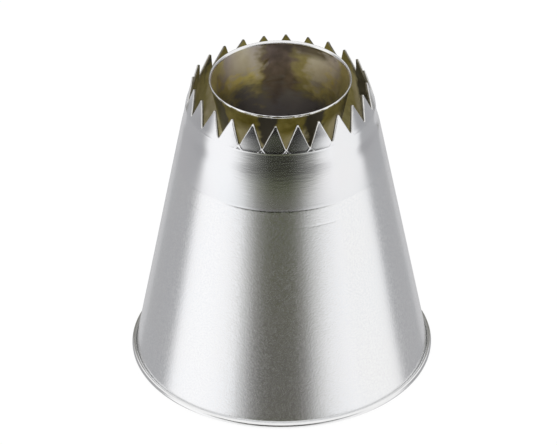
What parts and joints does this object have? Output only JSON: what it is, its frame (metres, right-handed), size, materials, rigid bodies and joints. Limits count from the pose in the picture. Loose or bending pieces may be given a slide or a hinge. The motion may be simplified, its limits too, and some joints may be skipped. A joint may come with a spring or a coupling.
{
  "type": "piping nozzle",
  "caption": "Large conical ring nozzle for piping dough: a toothed sheet-steel shell with a hemmed base, and a closed inner cone held in its mouth by bent legs.",
  "frame": {"origin": "centre of the base, on the plane that the hem rests on", "axes": "+Z along the nozzle's axis, from the wide base to the toothed mouth; +Y away from the picture's camera, +X to its right"},
  "size_m": [0.055, 0.055, 0.0574],
  "materials": {
    "shell_steel": "satin stainless sheet, fine grain round the axis",
    "cone_steel": "bright drawn stainless sheet, slightly warm inside",
    "leg_steel": "satin stainless strip",
    "weld_steel": "dull weld metal"
  },
  "bodies": {
    "root": {"outer_shell": "shell_steel", "inner_cone": "cone_steel", "support_leg_1": "leg_steel", "support_leg_2": "leg_steel", "support_leg_3": "leg_steel", "shell_spot_welds": "weld_steel", "cone_spot_welds": "weld_steel"}
  },
  "joints": []
}
